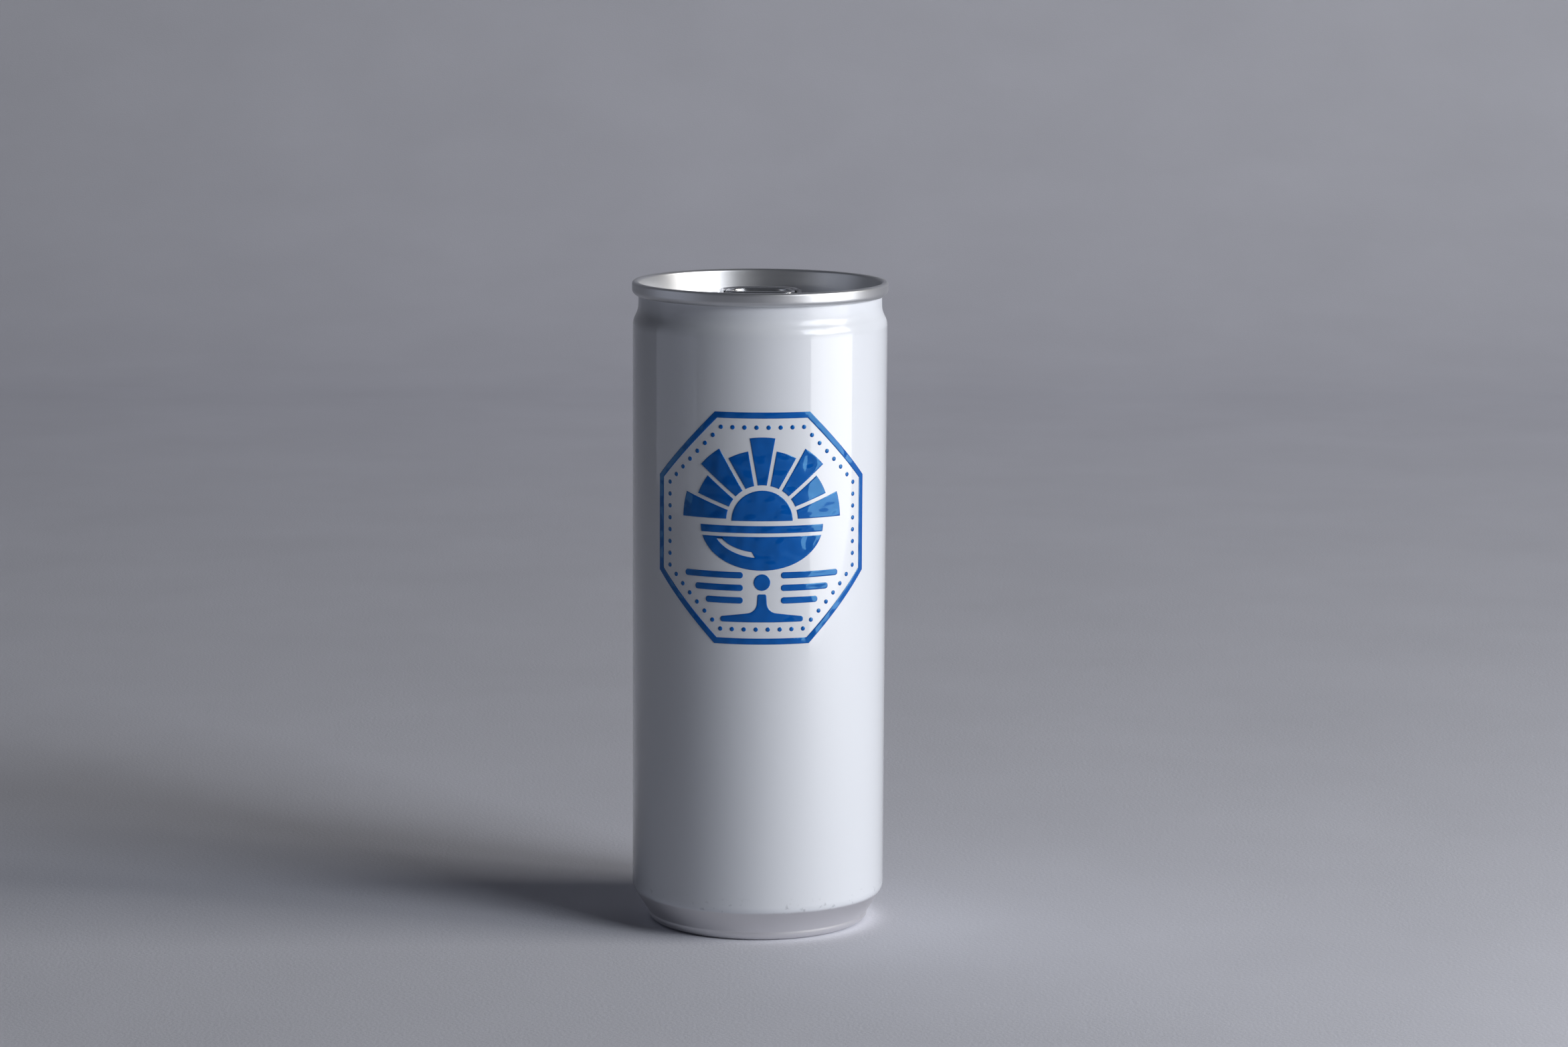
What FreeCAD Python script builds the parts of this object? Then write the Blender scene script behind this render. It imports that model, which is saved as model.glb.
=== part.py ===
import FreeCAD, Part
import math
import os
import Sketcher

# A shut drinks can of the slim kind, 53 mm across the wall and 135 mm tall, standing upright.
# Three pieces: the drawn body, the end that is seamed onto it, and the tab riveted to the end.
# Origin: the middle of the base, at the height of the ring the can stands on. +Z is up and
# the pouring side of the end is towards -Y. The body is solid, because a full can is shut.

DIMENSIONS = {
    "total_height": (135.1, "base ring to crest of the seam"),
    "wall_radius": (26.5, "outside of the straight wall"),
    "wall_top_height": (126.87, "sharp corner where the wall meets the neck slope"),
    "neck_radius": (25.33, "outside of the neck under the seam"),
    "neck_foot_height": (129.07, "sharp corner where the neck slope meets the neck"),
    "neck_blend": (4.8, "round of both neck corners"),
    "taper_top_height": (7.0, "sharp corner where the wall meets the taper at the base"),
    "taper_top_round": (2.83, "round of that corner"),
    "taper_foot_height": (1.89, "corner where the taper meets the foot bead"),
    "taper_foot_round": (0.6, "hollow round of that corner"),
    "foot_radius": (23.23, "outside of the foot bead"),
    "foot_round": (1.66, "outer round of the foot bead"),
    "leg_radius": (19.85, "sharp corner of the foot bead's inner side"),
    "leg_round": (1.46, "inner round of the foot bead"),
    "dome_rim_radius": (19.2, "edge of the dome"),
    "dome_rim_height": (4.3, "height of the dome's edge"),
    "dome_height": (8.7, "height of the dome's middle"),
    "dome_rim_round": (1.4, "round of the dome's edge"),
    "seam_radius": (26.62, "outside of the double seam"),
    "seam_height": (2.9, "crest to underside of the seam"),
    "seam_outer_round": (0.6, "outer round of the crest"),
    "seam_inner_round": (0.65, "inner round of the crest"),
    "seam_hook_round": (1.15, "lower round of the seam"),
    "chuck_top_radius": (25.3, "inner side of the seam, carried up to the crest"),
    "chuck_foot_radius": (24.2, "chuck wall at the bottom of the countersink"),
    "countersink_depth": (6.5, "crest to bottom of the countersink"),
    "countersink_round": (0.6, "rounds at the bottom of the countersink"),
    "panel_depth": (4.45, "crest to top of the panel"),
    "panel_wall_radius": (22.8, "inner wall of the countersink"),
    "panel_edge_round": (0.5, "round of the panel's edge"),
    "sheet": (0.25, "thickness of the end"),
    "score_half_width": (10.6, "opening score, half its width"),
    "score_near": (3.7, "opening score, nearest edge to the rivet"),
    "score_far": (19.4, "opening score, far edge"),
    "score_round": (7.6, "corner round of the opening score"),
    "score_width": (0.35, "width of the score groove"),
    "score_depth": (0.1, "depth of the score groove"),
    "bead_near": (11.2, "bead beside the tab, its inner side"),
    "bead_width": (1.4, "width of a bead"),
    "bead_start": (3.0, "front of a bead"),
    "bead_stop": (13.0, "back of a bead"),
    "bead_height": (0.3, "how far a bead stands up"),
    "bead_round": (0.25, "round of a bead's top edge"),
    "boss_radius": (3.9, "raised seat round the rivet"),
    "boss_top_radius": (3.6, "flat of that seat"),
    "boss_height": (0.3, "height of that seat"),
    "shank_radius": (1.6, "rivet inside the tab"),
    "head_radius": (2.8, "rivet head"),
    "head_thickness": (0.45, "thickness of the rivet head"),
    "head_round": (0.3, "round of the rivet head"),
    "dimple_radius": (1.2, "hollow in the rivet head"),
    "dimple_floor_radius": (0.9, "floor of that hollow"),
    "dimple_depth": (0.3, "depth of that hollow"),
    "tab_half_width": (8.9, "half the width of the tab"),
    "tab_nose": (6.8, "rivet to the tip of the nose"),
    "tab_heel": (18.2, "rivet to the end of the finger ring"),
    "tab_nose_round": (6.7, "corner round of the nose"),
    "tab_heel_round": (6.4, "corner round of the heel"),
    "tab_clearance": (0.2, "panel to underside of the tab's curled rim"),
    "tab_thickness": (1.3, "thickness of the curled rim"),
    "tab_edge_round": (0.6, "round of the curled rim"),
    "web_thickness": (0.3, "flat web inside the rim"),
    "web_half_width": (6.8, "half the width of the web"),
    "web_front": (4.4, "rivet to the front of the web"),
    "web_back": (6.3, "rivet to the back of the web"),
    "web_round": (3.0, "corner round of the web"),
    "finger_half_width": (6.3, "half the width of the finger hole"),
    "finger_front": (8.3, "rivet to the front of the finger hole"),
    "finger_back": (15.9, "rivet to the back of the finger hole"),
    "finger_front_round": (2.0, "front corner round of the finger hole"),
    "finger_back_round": (4.1, "back corner round of the finger hole"),
    "finger_edge_round": (0.55, "round of the finger hole's edge"),
    "slot_inner": (3.7, "inner side of the slot round the rivet"),
    "slot_outer": (4.3, "outer side of the slot round the rivet"),
    "slot_front": (1.6, "how far the slot comes forward of the rivet"),
    "least_straight": (0.1, "straight stretch kept between two rounds of a narrow shape"),
}

SAME_PLACE = 1e-4
EDGE_MARGIN = 1e-3

doc = FreeCAD.newDocument("drinks_can")


# ---------------------------------------------------------------- the sheet

def make_sheet():
    """Write every dimension into the sheet: a note, the number, and the number's alias."""
    sheet = doc.addObject("Spreadsheet::Sheet", "Dims")
    for row, (alias, (value, note)) in enumerate(DIMENSIONS.items(), start=1):
        sheet.set(f"A{row}", note)
        sheet.set(f"B{row}", str(value))
        sheet.setAlias(f"B{row}", alias)
    doc.recompute()


def dim(alias):
    """A dimension as an expression."""
    return f"Dims.{alias}"


def add(*terms):
    """The sum of some expressions."""
    return "(" + " + ".join(terms) + ")"


def less(first, *rest):
    """The first expression less the others."""
    return "(" + " - ".join((first,) + rest) + ")"


# ---------------------------------------------------------------- sketches

def new_sketch(body, name, plane, height=None):
    """A sketch on one of the body's own origin planes, lifted along its normal by an expression."""
    sketch = body.newObject("Sketcher::SketchObject", name)
    origin_plane = next(f for f in body.Origin.OriginFeatures if f.Role == plane)
    sketch.AttachmentSupport = [(origin_plane, "")]
    sketch.MapMode = "FlatFace"
    if height:
        sketch.setExpression("AttachmentOffset.Base.z", height)
    return sketch


def bind(sketch, kind, *where, expression):
    """Add a dimensional constraint and bind it to the sheet."""
    value = float(sketch.evalExpression(expression))
    index = sketch.addConstraint(Sketcher.Constraint(kind, *where, value))
    sketch.setExpression(f"Constraints[{index}]", expression)


def bind_place(sketch, geometry, position, across, up):
    """Fix a point of the sketch: on an axis where its coordinate is "0", else by a dimension."""
    for kind, axis, expression in (("DistanceX", -2, across), ("DistanceY", -1, up)):
        if expression == "0":
            sketch.addConstraint(Sketcher.Constraint("PointOnObject", geometry, position, axis))
        else:
            bind(sketch, kind, -1, 1, geometry, position, expression=expression)


def rounded_corner(before, corner, after, radius):
    """The two tangent points and the middle of the arc that rounds a corner."""
    back = (before - corner).normalize()
    forward = (after - corner).normalize()
    half_angle = back.getAngle(forward) / 2
    reach = radius / math.tan(half_angle)
    middle_line = (back + forward).normalize()
    middle = corner + middle_line * (radius / math.sin(half_angle) - radius)
    return corner + back * reach, middle, corner + forward * reach


def draw_outline(sketch, corners, domed=False):
    """Draw a closed outline through the corners, each (across, up, round or None) as expressions.

    Every corner is a point held by the sheet, and a round is an arc tangent to both sides.
    Where domed is set, the first side is an arc whose centre lies on the vertical axis.
    """
    count = len(corners)
    points = [FreeCAD.Vector(float(sketch.evalExpression(across)), float(sketch.evalExpression(up)), 0)
              for across, up, _ in corners]
    arrive = list(points)
    leave = list(points)
    middles = [None] * count
    for i, (_, _, rounding) in enumerate(corners):
        if rounding:
            radius = float(sketch.evalExpression(rounding))
            ends = rounded_corner(points[i - 1], points[i], points[(i + 1) % count], radius)
            arrive[i], middles[i], leave[i] = ends

    sides = []
    for i in range(count):
        start = leave[i]
        end = arrive[(i + 1) % count]
        if domed and i == 0:
            rise = start.y - end.y
            dome_radius = (end.x ** 2 + rise ** 2) / (2 * rise)
            half_way = end.x / 2
            drop = dome_radius - math.sqrt(dome_radius ** 2 - half_way ** 2)
            middle = FreeCAD.Vector(half_way, start.y - drop, 0)
            sides.append(sketch.addGeometry(Part.Arc(start, middle, end)))
            sketch.addConstraint(Sketcher.Constraint("PointOnObject", sides[0], 3, -2))
        else:
            sides.append(sketch.addGeometry(Part.LineSegment(start, end)))

    for i, (across, up, rounding) in enumerate(corners):
        incoming = sides[i - 1]
        outgoing = sides[i]
        if rounding:
            arc = sketch.addGeometry(Part.Arc(arrive[i], middles[i], leave[i]))
            first, second = (1, 2) if sketch.getPoint(arc, 1).isEqual(arrive[i], SAME_PLACE) else (2, 1)
            sketch.addConstraint(Sketcher.Constraint("Tangent", incoming, 2, arc, first))
            sketch.addConstraint(Sketcher.Constraint("Tangent", arc, second, outgoing, 1))
            bind(sketch, "Radius", arc, expression=rounding)
            corner = sketch.addGeometry(Part.Point(points[i]), True)
            sketch.addConstraint(Sketcher.Constraint("PointOnObject", corner, 1, incoming))
            sketch.addConstraint(Sketcher.Constraint("PointOnObject", corner, 1, outgoing))
            bind_place(sketch, corner, 1, across, up)
        else:
            start = 1 if sketch.getPoint(outgoing, 1).isEqual(points[i], SAME_PLACE) else 2
            end = 2 if sketch.getPoint(incoming, 2).isEqual(points[i], SAME_PLACE) else 1
            sketch.addConstraint(Sketcher.Constraint("Coincident", incoming, end, outgoing, start))
            bind_place(sketch, outgoing, start, across, up)
    doc.recompute()
    if not sketch.FullyConstrained:
        raise RuntimeError(f"{sketch.Name} is not fully constrained")


def draw_circle(sketch, radius):
    """A circle round the sketch's origin."""
    value = float(sketch.evalExpression(radius))
    circle = sketch.addGeometry(Part.Circle(FreeCAD.Vector(0, 0, 0), FreeCAD.Vector(0, 0, 1), value))
    sketch.addConstraint(Sketcher.Constraint("Coincident", circle, 3, -1, 1))
    bind(sketch, "Radius", circle, expression=radius)


# ---------------------------------------------------------------- features

def new_body(label):
    """A body whose label names its file."""
    body = doc.addObject("PartDesign::Body", label)
    body.Label = label
    return body


def revolve(body, name, sketch):
    """Turn an outline once round the vertical axis of its sketch."""
    feature = body.newObject("PartDesign::Revolution", name)
    feature.Profile = sketch
    feature.ReferenceAxis = (sketch, ["V_Axis"])
    feature.Angle = 360
    doc.recompute()
    return feature


def pad(body, name, sketch, length):
    """Raise an outline by a length of the sheet."""
    feature = body.newObject("PartDesign::Pad", name)
    feature.Profile = sketch
    feature.setExpression("Length", length)
    doc.recompute()
    return feature


def pocket(body, name, sketch, depth):
    """Cut an outline down by a depth of the sheet, and make sure that something was cut."""
    before = body.Shape.Volume
    feature = body.newObject("PartDesign::Pocket", name)
    feature.Profile = sketch
    feature.setExpression("Length", depth)
    feature.Reversed = False
    doc.recompute()
    if not body.Shape.Volume < before - SAME_PLACE:
        raise RuntimeError(f"{name} cuts nothing")
    return feature


def round_edges(body, name, base, radius, wanted):
    """Round those edges of a feature that the wanted test accepts."""
    names = [f"Edge{i}" for i, edge in enumerate(base.Shape.Edges, start=1) if wanted(edge)]
    if not names:
        raise RuntimeError(f"{name} finds no edges")
    feature = body.newObject("PartDesign::Fillet", name)
    feature.Base = (base, names)
    feature.setExpression("Radius", radius)
    doc.recompute()
    return feature


def lies_at(edge, heights):
    """Whether an edge is level, at one of the heights."""
    box = edge.BoundBox
    return any(abs(box.ZMin - z) < SAME_PLACE and abs(box.ZMax - z) < SAME_PLACE for z in heights)


def number(expression):
    """The value of an expression, in millimetres."""
    return float(doc.Dims.evalExpression(expression))


# ---------------------------------------------------------------- shared places

PANEL_TOP = less(dim("total_height"), dim("panel_depth"))
PANEL_UNDERSIDE = less(PANEL_TOP, dim("sheet"))
COUNTERSINK_FLOOR = less(dim("total_height"), dim("countersink_depth"))
COUNTERSINK_UNDERSIDE = less(COUNTERSINK_FLOOR, dim("sheet"))
SEAM_UNDERSIDE = less(dim("total_height"), dim("seam_height"))
TAB_UNDERSIDE = add(PANEL_TOP, dim("tab_clearance"))
TAB_TOP = add(TAB_UNDERSIDE, dim("tab_thickness"))
WEB_UNDERSIDE = add(PANEL_TOP, dim("boss_height"))
WEB_TOP = add(WEB_UNDERSIDE, dim("web_thickness"))


def chuck_outside(height):
    """Radius of the chuck wall's outer side at a height: it leans outwards on its way up."""
    lean = f"(({dim('chuck_top_radius')} - {dim('chuck_foot_radius')}) / {dim('countersink_depth')})"
    inside = f"{dim('chuck_foot_radius')} + ({height} - {COUNTERSINK_FLOOR}) * {lean}"
    return f"({inside} + {dim('sheet')} * sqrt(1 + {lean}^2))"


def end_underside():
    """The corners along the underside of the end, from the neck to the axis.

    The body's solid meets the end face to face along them.
    """
    underside_round = add(dim("countersink_round"), dim("sheet"))
    inner_wall = less(dim("panel_wall_radius"), dim("sheet"))
    return [
        (dim("neck_radius"), SEAM_UNDERSIDE, None),
        (chuck_outside(SEAM_UNDERSIDE), SEAM_UNDERSIDE, None),
        (chuck_outside(COUNTERSINK_UNDERSIDE), COUNTERSINK_UNDERSIDE, underside_round),
        (inner_wall, COUNTERSINK_UNDERSIDE, underside_round),
        (inner_wall, PANEL_UNDERSIDE, less(dim("panel_edge_round"), dim("sheet"))),
        ("0", PANEL_UNDERSIDE, None),
    ]


# ---------------------------------------------------------------- the body

def make_can_body():
    """The drawn and ironed body: domed base, foot bead, taper, straight wall and neck."""
    body = new_body("can_body")
    outline = new_sketch(body, "body_outline", "XZ_Plane")
    corners = [
        ("0", dim("dome_height"), None),
        (dim("dome_rim_radius"), dim("dome_rim_height"), None),
        (dim("leg_radius"), "0", dim("leg_round")),
        (dim("foot_radius"), "0", dim("foot_round")),
        (dim("foot_radius"), dim("taper_foot_height"), dim("taper_foot_round")),
        (dim("wall_radius"), dim("taper_top_height"), dim("taper_top_round")),
        (dim("wall_radius"), dim("wall_top_height"), dim("neck_blend")),
        (dim("neck_radius"), dim("neck_foot_height"), dim("neck_blend")),
    ]
    draw_outline(outline, corners + end_underside(), domed=True)
    turned = revolve(body, "body_turned", outline)
    rim_height = number(dim("dome_rim_height"))
    rim_radius = number(dim("dome_rim_radius"))
    round_edges(body, "dome_rim_rounded", turned, dim("dome_rim_round"),
                lambda edge: lies_at(edge, [rim_height]) and edge.BoundBox.XMax < rim_radius + EDGE_MARGIN)
    return body


# ---------------------------------------------------------------- the end

def make_seamed_end(body):
    """The pressed sheet: panel, countersink, chuck wall and the double seam."""
    outline = new_sketch(body, "end_outline", "XZ_Plane")
    corners = [
        ("0", PANEL_TOP, None),
        (dim("panel_wall_radius"), PANEL_TOP, dim("panel_edge_round")),
        (dim("panel_wall_radius"), COUNTERSINK_FLOOR, dim("countersink_round")),
        (dim("chuck_foot_radius"), COUNTERSINK_FLOOR, dim("countersink_round")),
        (dim("chuck_top_radius"), dim("total_height"), dim("seam_inner_round")),
        (dim("seam_radius"), dim("total_height"), dim("seam_outer_round")),
        (dim("seam_radius"), SEAM_UNDERSIDE, dim("seam_hook_round")),
    ]
    draw_outline(outline, corners + end_underside())
    revolve(body, "end_turned", outline)


def make_rivet(body):
    """The rivet, drawn up out of the panel: seat, shank, head and the hollow in the head."""
    outline = new_sketch(body, "rivet_outline", "XZ_Plane")
    head_top = add(WEB_TOP, dim("head_thickness"))
    dimple_floor = less(head_top, dim("dimple_depth"))
    corners = [
        ("0", PANEL_UNDERSIDE, None),
        (dim("boss_radius"), PANEL_UNDERSIDE, None),
        (dim("boss_radius"), PANEL_TOP, None),
        (dim("boss_top_radius"), WEB_UNDERSIDE, None),
        (dim("shank_radius"), WEB_UNDERSIDE, None),
        (dim("shank_radius"), WEB_TOP, None),
        (dim("head_radius"), WEB_TOP, None),
        (dim("head_radius"), head_top, dim("head_round")),
        (dim("dimple_radius"), head_top, None),
        (dim("dimple_floor_radius"), dimple_floor, None),
        ("0", dimple_floor, None),
    ]
    draw_outline(outline, corners)
    revolve(body, "rivet", outline)


def score_corners(inset):
    """The opening's outline, drawn in by an inset."""
    side = less(dim("score_half_width"), inset)
    near = f"(-{dim('score_near')} - {inset})"
    far = f"(-{dim('score_far')} + {inset})"
    corner_round = less(dim("score_round"), inset)
    return [
        (f"(-{side})", far, corner_round),
        (side, far, corner_round),
        (side, near, corner_round),
        (f"(-{side})", near, corner_round),
    ]


def make_score(body):
    """The thin groove that lets the opening tear free."""
    sketch = new_sketch(body, "score_outline", "XY_Plane", PANEL_TOP)
    draw_outline(sketch, score_corners("0"))
    draw_outline(sketch, score_corners(dim("score_width")))
    pocket(body, "score", sketch, dim("score_depth"))


def make_beads(body):
    """The stiffening beads, one on each side of the tab."""
    inner = dim("bead_near")
    outer = add(inner, dim("bead_width"))
    end_round = f"(({dim('bead_width')} - {dim('least_straight')}) / 2)"
    for side, sign in (("left", "-"), ("right", "")):
        sketch = new_sketch(body, f"bead_outline_{side}", "XY_Plane", PANEL_TOP)
        corners = [
            (f"({sign}{inner})", dim("bead_start"), end_round),
            (f"({sign}{outer})", dim("bead_start"), end_round),
            (f"({sign}{outer})", dim("bead_stop"), end_round),
            (f"({sign}{inner})", dim("bead_stop"), end_round),
        ]
        draw_outline(sketch, corners)
        raised = pad(body, f"bead_{side}", sketch, dim("bead_height"))
        bead_top = number(add(PANEL_TOP, dim("bead_height")))
        middle = (number(inner) + number(outer)) / 2 * (-1 if sign else 1)
        reach = number(dim("bead_width"))
        round_edges(body, f"bead_rounded_{side}", raised, dim("bead_round"),
                    lambda edge: lies_at(edge, [bead_top]) and abs(edge.CenterOfMass.x - middle) < reach)


def make_can_end():
    """The end: a pressed sheet with its seam, the rivet, the opening score and two beads."""
    body = new_body("can_end")
    make_seamed_end(body)
    make_rivet(body)
    make_score(body)
    make_beads(body)
    return body


# ---------------------------------------------------------------- the tab

def box_corners(half_width, front, back, front_round, back_round):
    """A rounded oblong across the tab, from front to back."""
    return [
        (f"(-{half_width})", front, front_round),
        (half_width, front, front_round),
        (half_width, back, back_round),
        (f"(-{half_width})", back, back_round),
    ]


def make_pull_tab():
    """The tab: a curled rim round a flat web, with a finger hole and a slot round the rivet."""
    body = new_body("pull_tab")
    top = number(TAB_TOP)
    underside = number(TAB_UNDERSIDE)

    rim = new_sketch(body, "tab_outline", "XY_Plane", TAB_UNDERSIDE)
    draw_outline(rim, box_corners(dim("tab_half_width"), f"(-{dim('tab_nose')})", dim("tab_heel"),
                                  dim("tab_nose_round"), dim("tab_heel_round")))
    blank = pad(body, "tab_blank", rim, dim("tab_thickness"))
    round_edges(body, "rim_rounded", blank, dim("tab_edge_round"),
                lambda edge: lies_at(edge, [top, underside]))

    finger = new_sketch(body, "finger_outline", "XY_Plane", TAB_TOP)
    draw_outline(finger, box_corners(dim("finger_half_width"), dim("finger_front"), dim("finger_back"),
                                     dim("finger_front_round"), dim("finger_back_round")))
    hole = pocket(body, "finger_hole", finger, dim("tab_thickness"))
    inside = number(dim("finger_half_width")) + EDGE_MARGIN
    near = number(dim("finger_front")) - EDGE_MARGIN
    far = number(dim("finger_back")) + EDGE_MARGIN
    round_edges(body, "finger_hole_rounded", hole, dim("finger_edge_round"),
                lambda edge: (lies_at(edge, [top, underside]) and edge.BoundBox.XMax < inside
                              and edge.BoundBox.XMin > -inside and edge.BoundBox.YMin > near
                              and edge.BoundBox.YMax < far))

    web = box_corners(dim("web_half_width"), f"(-{dim('web_front')})", dim("web_back"),
                      dim("web_round"), dim("web_round"))
    upper = new_sketch(body, "web_outline_upper", "XY_Plane", TAB_TOP)
    draw_outline(upper, web)
    pocket(body, "web_upper", upper, less(TAB_TOP, WEB_TOP))
    lower = new_sketch(body, "web_outline_lower", "XY_Plane", WEB_UNDERSIDE)
    draw_outline(lower, web)
    pocket(body, "web_lower", lower, less(WEB_UNDERSIDE, TAB_UNDERSIDE))

    shank = new_sketch(body, "shank_outline", "XY_Plane", WEB_TOP)
    draw_circle(shank, dim("shank_radius"))
    pocket(body, "shank_hole", shank, dim("web_thickness"))

    slot = new_sketch(body, "slot_outline", "XY_Plane", WEB_TOP)
    front = f"(-{dim('slot_front')})"
    inner = dim("slot_inner")
    outer = dim("slot_outer")
    inner_round = less(inner, f"{dim('least_straight')} / 2")
    outer_round = less(outer, f"{dim('least_straight')} / 2")
    draw_outline(slot, [
        (f"(-{outer})", front, None),
        (f"(-{inner})", front, None),
        (f"(-{inner})", inner, inner_round),
        (inner, inner, inner_round),
        (inner, front, None),
        (outer, front, None),
        (outer, outer, outer_round),
        (f"(-{outer})", outer, outer_round),
    ])
    pocket(body, "slot", slot, dim("web_thickness"))
    return body


# ---------------------------------------------------------------- build, check and write

def check_document():
    """Stop if any object of the document failed to rebuild."""
    for item in doc.Objects:
        if "Invalid" in item.State or "Error" in item.State:
            raise RuntimeError(f"{item.Name} is {item.State}")


def write_steps(bodies):
    """Write one STEP file for each body, named by its label."""
    os.makedirs("parts", exist_ok=True)
    for body in bodies:
        shape = body.Shape
        if shape.isNull() or not shape.isValid() or len(shape.Solids) != 1:
            raise RuntimeError(f"{body.Label} has no valid single solid")
        shape.exportStep(f"parts/{body.Label}.step")
        box = shape.BoundBox
        print(f"{body.Label}: {shape.Volume:.1f} mm3, z {box.ZMin:.2f} to {box.ZMax:.2f}")


make_sheet()
pieces = [make_can_body(), make_can_end(), make_pull_tab()]
doc.recompute()
check_document()
write_steps(pieces)
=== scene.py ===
from contextlib import contextmanager
import math

import bmesh
import bpy
from bpy.props import FloatProperty, FloatVectorProperty, IntProperty, PointerProperty
from bpy.types import Operator, Panel, PropertyGroup
from mathutils import Matrix, Vector


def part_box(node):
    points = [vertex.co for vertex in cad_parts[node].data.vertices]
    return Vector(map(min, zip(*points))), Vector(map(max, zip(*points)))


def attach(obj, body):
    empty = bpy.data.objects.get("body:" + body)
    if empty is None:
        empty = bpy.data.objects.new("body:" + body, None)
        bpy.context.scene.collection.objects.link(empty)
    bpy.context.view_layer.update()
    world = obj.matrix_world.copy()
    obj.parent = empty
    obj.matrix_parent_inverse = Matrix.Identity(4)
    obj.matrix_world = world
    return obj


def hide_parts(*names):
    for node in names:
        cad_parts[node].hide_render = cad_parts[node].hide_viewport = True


# A shut, slim cocktail can: a white lacquered wall with bare metal at the foot, an aluminium end
# seamed onto its neck, a riveted tab, and a generic print of raised blue ink on the front.
# Every size is in metres and in the construction model's own place: +Z up, the front towards -Y.

bl_info = {
    "name": "Slim Cocktail Can",
    "version": (1, 0, 0),
    "blender": (4, 5, 0),
    "location": "View3D > Sidebar > Can",
    "description": "Builds the looks of a shut slim cocktail can round its construction model",
    "category": "Add Mesh",
}

MM = 0.001
MERGE_DISTANCE = 0.001 * MM

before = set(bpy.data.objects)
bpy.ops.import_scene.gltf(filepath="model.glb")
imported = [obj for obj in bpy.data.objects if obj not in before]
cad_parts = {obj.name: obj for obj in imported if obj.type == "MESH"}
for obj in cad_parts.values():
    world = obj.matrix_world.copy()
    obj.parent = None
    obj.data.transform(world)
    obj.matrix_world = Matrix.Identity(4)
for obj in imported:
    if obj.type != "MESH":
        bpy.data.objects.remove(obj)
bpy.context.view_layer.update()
body_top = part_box("can_body")[1]
end_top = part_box("can_end")[1]
tab_low, tab_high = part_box("pull_tab")


# ---------------------------------------------------------------- settings

def length(name, description, value):
    """A length the user can change. Its default is in metres."""
    return FloatProperty(name=name, description=description, default=value,
                         subtype="DISTANCE", unit="LENGTH", precision=5)


def angle(name, description, degrees):
    """An angle the user can change. Its default is given in degrees."""
    return FloatProperty(name=name, description=description, default=math.radians(degrees),
                         subtype="ANGLE", unit="ROTATION")


def power(name, description, watts):
    """The power of a lamp, which the user can change."""
    return FloatProperty(name=name, description=description, default=watts, subtype="POWER")


def linear(hex_colour):
    """An sRGB hex colour as linear red, green and blue."""
    channels = [int(hex_colour[i:i + 2], 16) / 255 for i in (1, 3, 5)]
    return tuple(c / 12.92 if c <= 0.04045 else ((c + 0.055) / 1.055) ** 2.4 for c in channels)


def colour(name, description, hex_colour):
    """A colour the user can change. Its default is given as sRGB hex."""
    return FloatVectorProperty(name=name, description=description, default=linear(hex_colour),
                               subtype="COLOR", size=3, min=0.0, max=1.0)


class CanBodySizes(PropertyGroup):
    """Sizes of the drawn body."""
    wall_radius: length("Wall radius", "Outside of the straight wall", body_top.x)
    wall_top: length("Wall top", "Corner where the wall meets the neck slope", 126.87 * MM)
    neck_radius: length("Neck radius", "Outside of the neck under the seam", 25.33 * MM)
    neck_foot: length("Neck foot", "Corner where the slope meets the neck", 129.07 * MM)
    neck_top: length("Neck top", "Where the neck goes into the seam", body_top.z)
    neck_blend: length("Neck blend", "Round of both neck corners", 4.8 * MM)
    taper_top: length("Taper top", "Corner where the wall meets the taper", 7.0 * MM)
    taper_round: length("Taper round", "Round of that corner", 2.83 * MM)
    taper_foot: length("Taper foot", "Corner where the taper meets the foot bead", 1.89 * MM)
    foot_radius: length("Foot radius", "Outside of the foot bead", 23.23 * MM)
    foot_round: length("Foot round", "Outer round of the foot bead", 1.66 * MM)
    leg_radius: length("Leg radius", "Inner side of the foot bead", 19.85 * MM)
    leg_round: length("Leg round", "Inner round of the foot bead", 1.46 * MM)
    dome_rim_radius: length("Dome rim radius", "Edge of the dome", 19.2 * MM)
    dome_rim_height: length("Dome rim height", "Height of the dome's edge", 4.3 * MM)
    dome_height: length("Dome height", "Height of the dome's middle", 8.7 * MM)
    coat_edge: length("Coat edge", "Height where the lacquer ends above the foot", 6.55 * MM)
    segments: IntProperty(name="Segments", description="Steps round the axis", default=192, min=48)


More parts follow.
